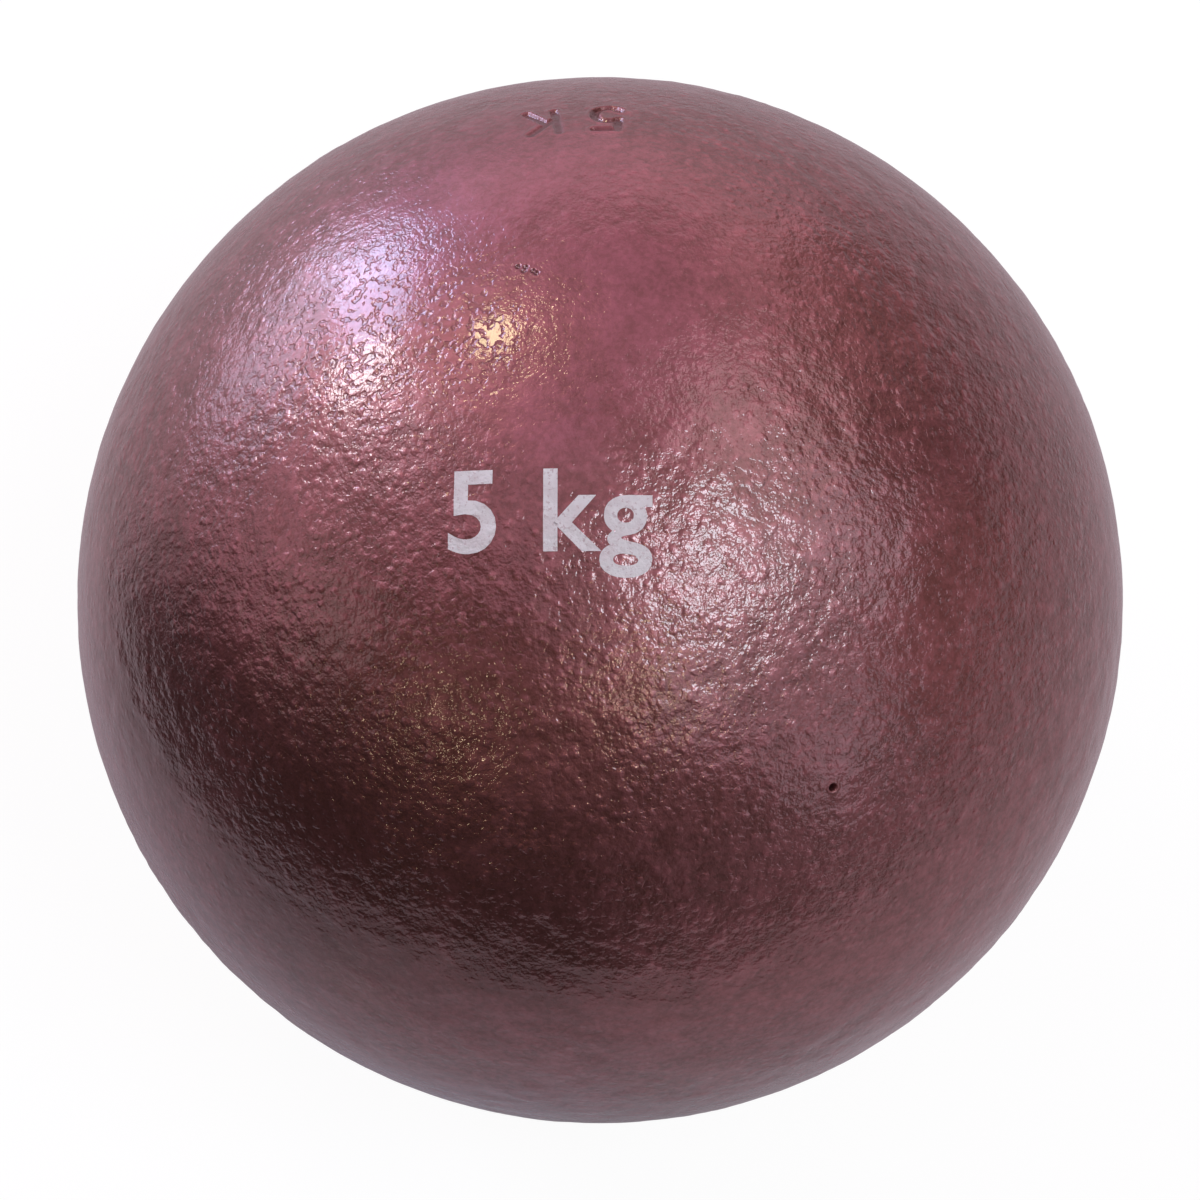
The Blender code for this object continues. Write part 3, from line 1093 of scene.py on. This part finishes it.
def makeFloor():
    # the camera sees white; the ball meets a pale table, and a dark room floor past its edges
    half = studio["floorWidth"] / 2
    corners = [(-half, -half), (half, -half), (half, half), (-half, half)]
    mesh = bpy.data.meshes.new("floor")
    mesh.from_pydata([(x, y, -ballRadius) for x, y in corners], [], [(0, 1, 2, 3)])
    floor = newPiece("floor", mesh)
    finish, tree, shader, position = newFinish("pale_floor")
    past, onTable = tableShares(tree, position)
    path = addNode(tree, "ShaderNodeLightPath").outputs
    top = mixColours(tree, past, studio["tableColour"], studio["roomFloorColour"])
    top = mixColours(tree, path["Is Camera Ray"], top, studio["floorColour"])
    rougher = studio["roomFloorRoughness"] - studio["floorRoughness"]
    shine = mathNode(tree, "MULTIPLY_ADD", past, rougher, studio["floorRoughness"])
    setInputs(shader, **{"Base Color": top, "Roughness": shine})
    shown = mixColours(tree, path["Is Camera Ray"], studio["tableGlow"], studio["seenWhite"])
    glow = addNode(tree, "ShaderNodeEmission")
    setInputs(glow, Color=shown, Strength=1.0)
    share = product(tree, path["Is Camera Ray"], studio["whiteShare"])
    share = mathNode(tree, "MULTIPLY_ADD", path["Is Glossy Ray"], onTable, share)
    mix = addNode(tree, "ShaderNodeMixShader")
    setInputs(mix, _0=share, _1=shader.outputs[0], _2=glow.outputs[0])
    setInputs(tree.nodes["Material Output"], Surface=mix.outputs[0])
    mesh.materials.append(finish)


def makeRoom():
    # the camera sees a white wall; the ball meets a dim room
    room = bpy.data.worlds.new("room")
    bpy.context.scene.world = room
    room.use_nodes = True
    tree = room.node_tree
    dim = tree.nodes["Background"]
    setInputs(dim, Color=studio["roomColour"], Strength=studio["roomStrength"])
    seen = addNode(tree, "ShaderNodeBackground")
    setInputs(seen, Color=studio["seenWall"], Strength=1.0)
    path = addNode(tree, "ShaderNodeLightPath").outputs
    mix = addNode(tree, "ShaderNodeMixShader")
    setInputs(mix, _0=path["Is Camera Ray"], _1=dim.outputs[0], _2=seen.outputs[0])
    setInputs(tree.nodes["World Output"], Surface=mix.outputs[0])


def makeLamps():
    for name, (elevation, turn, roll, width, height, colour, watts) in lamps.items():
        data = bpy.data.lights.new(name, "AREA")
        data.shape = "RECTANGLE"
        data.size, data.size_y = width, height
        data.color, data.energy = colour, watts
        lamp = newPiece(name, data)
        lamp.location = ballPoint(elevation, turn, studio["lampDistance"])
        facing = (-lamp.location).to_track_quat("-Z", "Y")
        lamp.rotation_euler = (facing @ Quaternion((0, 0, 1), math.radians(roll))).to_euler()


def makeCamera():
    elevation = math.radians(studio["cameraElevationDeg"])
    distance = studio["cameraDistance"]
    halfView = math.tan(math.asin(ballRadius / distance)) / studio["ballShare"]
    data = bpy.data.cameras.new("camera")
    data.sensor_width = studio["sensorWidth"]
    data.lens = data.sensor_width / 2 / halfView
    camera = newPiece("camera", data)
    camera.location = (0, -distance * math.cos(elevation), distance * math.sin(elevation))
    camera.rotation_euler = (math.pi / 2 - elevation, 0, 0)
    bpy.context.scene.camera = camera


bpy.context.scene.view_settings.view_transform = "Standard"
makeCamera()
makeFloor()
makeRoom()
makeLamps()
print("stage ready")
enamelFinish = makeEnamel()
ballSkin = makeBallSkin(enamelFinish)
makeScrewPlug(enamelFinish)
makeWeightPrint(ballSkin)
dressInnerPieces()
